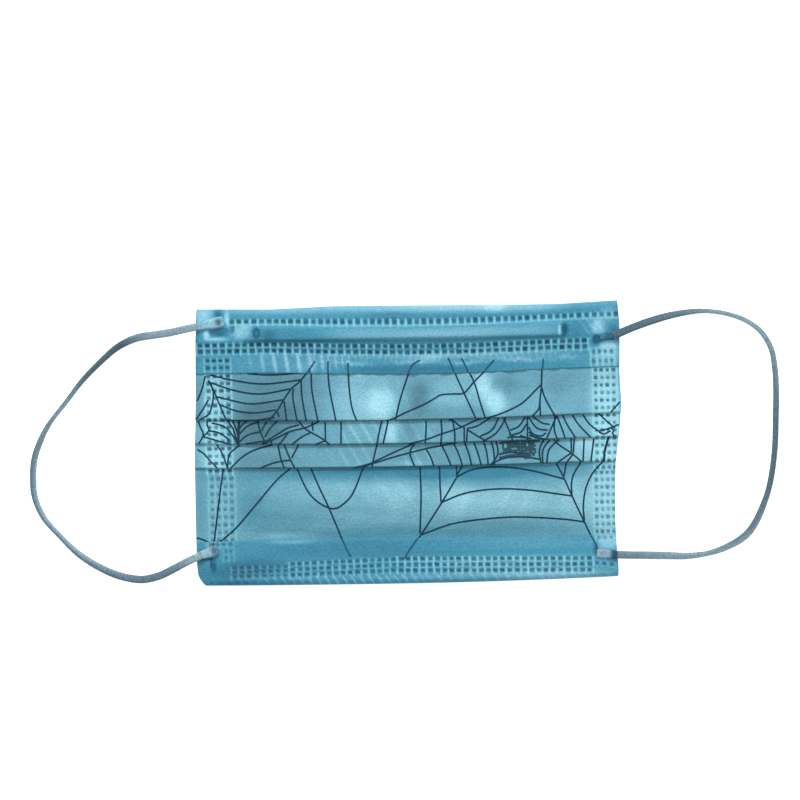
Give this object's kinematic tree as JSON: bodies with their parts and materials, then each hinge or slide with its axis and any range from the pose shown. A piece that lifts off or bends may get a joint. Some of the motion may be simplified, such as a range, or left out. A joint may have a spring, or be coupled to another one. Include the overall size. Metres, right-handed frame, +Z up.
{
  "type": "surgical face mask",
  "caption": "Pleated disposable face mask of child size, lying flat, with folded hems, nose wire and flat elastic ear loops.",
  "frame": {"origin": "on the surface that the mask lies on, below the middle of its cloth body", "axes": "+X across the mask, +Y to the nose edge, +Z up through the cloth to its printed outer side"},
  "size_m": [0.2603, 0.096, 0.0054],
  "materials": {
    "printed_nonwoven": "light cyan spunbond nonwoven with a thin dark web print",
    "hem_nonwoven": "teal spunbond nonwoven, folded double, with welded dots",
    "wire_cover": "matte blue plastic over wire",
    "ear_elastic": "grey-blue knitted elastic"
  },
  "bodies": {
    "root": {"pleated_panel": "printed_nonwoven", "top_hem": "hem_nonwoven", "bottom_hem": "hem_nonwoven", "nose_wire": "wire_cover", "ear_loop_left": "ear_elastic", "ear_loop_right": "ear_elastic", "ear_loop_tab_top_left": "ear_elastic", "ear_loop_tab_top_right": "ear_elastic", "ear_loop_tab_bottom_left": "ear_elastic", "ear_loop_tab_bottom_right": "ear_elastic"}
  },
  "joints": []
}
